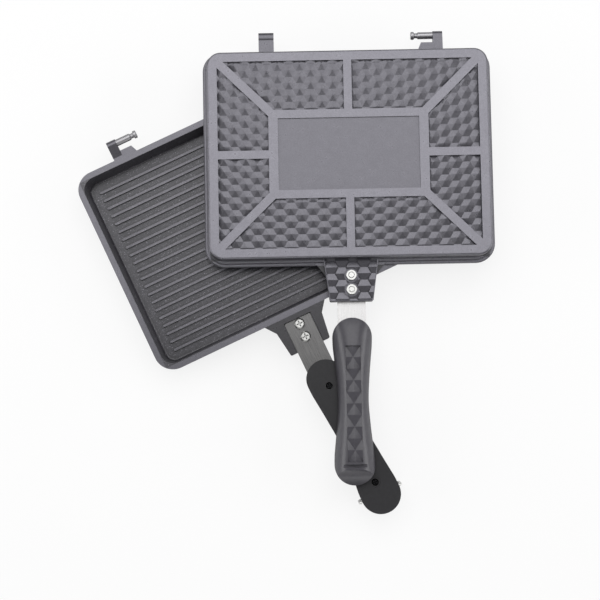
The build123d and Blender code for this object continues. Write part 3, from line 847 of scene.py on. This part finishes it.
class TOASTER_OT_lug_relief(bpy.types.Operator):
    """Covers the outer side of each handle lug with cast cells, spot-faced round the nuts"""

    bl_idname = "toaster.lug_relief"
    bl_label = "Lug relief"

    def execute(self, context):
        relief = settings().relief
        coat = bpy.data.materials["sprayed_grey_coat"]
        bpy.ops.object.select_all(action="DESELECT")
        shift = (relief.lug_x, relief.lug_y)
        reach = LUG_ROOT.y - LUG_TIP.y
        sheet = hexagon_cells(
            relief.lug_cell, relief.lug_rise, 2 * LUG_ROOT.x, reach, shift, LUG_RIDGE_SHARE)
        flank = LUG_TIP - LUG_ROOT
        normal = Vector((-flank.y, flank.x)).normalized()
        start = LUG_ROOT - normal * LUG_BORDER
        planes = [
            (start, normal),
            ((-start.x, start.y), (-normal.x, normal.y)),
            ((0, LUG_ROOT.y), (0, 1)),
            ((0, LUG_TIP.y + LUG_BORDER), (0, -1)),
        ]
        cut_and_close(sheet, planes, -LUG_SINK)
        for place in PLACES:
            nut = sum(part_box(f"lower_{place}_lug_nut"), Vector()) / 2
            middle = outer_place("lower").inverted() @ nut
            bpy.ops.mesh.primitive_cylinder_add(
                vertices=SPOT_FACE_TOOL_SIDES, radius=SPOT_FACE_RADIUS, depth=SPOT_FACE_TOOL_LENGTH,
                location=(0, middle.y, 0))
            tool = bpy.context.object
            cut = sheet.modifiers.new("spot_face", "BOOLEAN")
            cut.operation = "DIFFERENCE"
            cut.object = tool
            apply_all(sheet)
            bpy.data.objects.remove(tool)
        soften(sheet, relief.softness / 2)
        on_lug = Matrix.Translation((0, 0, LUG_FACE_Z + LUG_SINK))
        for side in SIDES:
            piece = sheet if side == SIDES[-1] else twin(sheet, "lug")
            place = outer_place(side) @ on_lug
            set_down(piece, place, f"{side}_lug_relief", f"{side}_half", coat)
        return {"FINISHED"}


def white_for_camera(tree, lit, white_kind, output, share):
    """Shows the camera a share of plain white over what is lit, and leaves the light as it is."""
    white = node(tree, white_kind, {"Color": WHITE, "Strength": 1.0})
    path = node(tree, "ShaderNodeLightPath")
    seen = node(tree, "ShaderNodeMath", {0: path.outputs["Is Camera Ray"], 1: share},
                operation="MULTIPLY")
    mix = node(tree, "ShaderNodeMixShader", {0: seen, 1: lit, 2: white})
    connect(tree, tree.nodes[output], {"Surface": mix})


def softbox(name, place, target, size, power):
    """A rectangular area lamp that faces the target."""
    lamp = bpy.data.lights.new(name, "AREA")
    lamp.shape = "RECTANGLE"
    lamp.size, lamp.size_y = size
    lamp.energy = power
    box = bpy.data.objects.new(name, lamp)
    bpy.context.collection.objects.link(box)
    box.location = place
    box.rotation_mode = "QUATERNION"
    box.rotation_quaternion = (Vector(target) - Vector(place)).to_track_quat("-Z", "Y")


class TOASTER_OT_stage(bpy.types.Operator):
    """Builds the pale floor, the even studio light, the softboxes and the camera"""

    bl_idname = "toaster.stage"
    bl_label = "Stage"

    def execute(self, context):
        stage = settings().stage
        scene = context.scene
        scene.view_settings.view_transform = "Standard"
        world = bpy.data.worlds.new("studio")
        scene.world = world
        world.use_nodes = True
        tree = world.node_tree
        sky = tree.nodes["Background"]
        connect(tree, sky, {"Color": WHITE, "Strength": stage.sky})
        white_for_camera(tree, sky, "ShaderNodeBackground", "World Output", WORLD_WHITE)

        bpy.ops.object.select_all(action="DESELECT")
        bpy.ops.mesh.primitive_plane_add(size=FLOOR_SIDE)
        floor = active(bpy.context.object)
        floor.name = "studio_floor"
        material, tree, shader = new_material("studio_floor", Roughness=FLOOR_ROUGHNESS)
        connect(tree, shader, {"Base Color": settings().finish.floor})
        white_for_camera(tree, shader, "ShaderNodeEmission", "Material Output", FLOOR_WHITE)
        floor.data.materials.append(material)

        target = Vector(stage.target)
        turn, rise = stage.azimuth, stage.elevation
        back = Vector((math.sin(turn) * math.cos(rise), -math.cos(turn) * math.cos(rise), math.sin(rise)))
        rear = Vector((-math.sin(turn), math.cos(turn), 0))
        right = Vector((math.cos(turn), math.sin(turn), 0))
        above = Vector((0, 0, 1))
        place = target + rear * OVERHEAD_BACK + above * OVERHEAD_HEIGHT
        softbox("overhead_softbox", place, target, OVERHEAD_SIZE, stage.key)
        for way, share in ((right, 1.0), (-right, 1.0), (-rear, FRONT_SHARE)):
            place = target + way * LOW_REACH + above * LOW_HEIGHT
            softbox("low_softbox", place, target, LOW_SIZE, stage.fill * share)

        lens = bpy.data.cameras.new("camera")
        lens.sensor_width = SENSOR_WIDTH
        lens.lens = stage.focal / PICTURE_SIDE * SENSOR_WIDTH
        lens.clip_end = CLIP_END
        camera = bpy.data.objects.new("camera", lens)
        context.collection.objects.link(camera)
        camera.location = target + back * stage.distance
        camera.rotation_mode = "QUATERNION"
        camera.rotation_quaternion = (-back).to_track_quat("-Z", "Y")
        scene.camera = camera
        return {"FINISHED"}


STEPS = (
    TOASTER_OT_castings,
    TOASTER_OT_hardware,
    TOASTER_OT_grips,
    TOASTER_OT_panel_relief,
    TOASTER_OT_lug_relief,
    TOASTER_OT_stage,
)


class TOASTER_PT_panel(bpy.types.Panel):
    """Lists the steps and settings in the sidebar"""

    bl_idname = "TOASTER_PT_panel"
    bl_label = "Sandwich toaster"
    bl_space_type = "VIEW_3D"
    bl_region_type = "UI"
    bl_category = "Toaster"

    def draw(self, context):
        for step in STEPS:
            self.layout.operator(step.bl_idname)
        for group in (settings().relief, settings().finish, settings().stage):
            column = self.layout.column()
            for name in group.bl_rna.properties.keys():
                if name not in ("rna_type", "name"):
                    column.prop(group, name)


CLASSES = (
    ToasterReliefSettings,
    ToasterFinishSettings,
    ToasterStageSettings,
    ToasterSettings,
    *STEPS,
    TOASTER_PT_panel,
)


def register():
    """Registers the classes and the scene's settings."""
    for item in CLASSES:
        bpy.utils.register_class(item)
    bpy.types.Scene.toaster = bpy.props.PointerProperty(type=ToasterSettings)


def unregister():
    """Takes the classes and the settings away again."""
    del bpy.types.Scene.toaster
    for item in reversed(CLASSES):
        bpy.utils.unregister_class(item)


def main():
    register()
    bpy.ops.toaster.castings()
    bpy.ops.toaster.hardware()
    bpy.ops.toaster.grips()
    bpy.ops.toaster.panel_relief()
    bpy.ops.toaster.lug_relief()
    bpy.ops.toaster.stage()


if __name__ == "__main__":
    main()
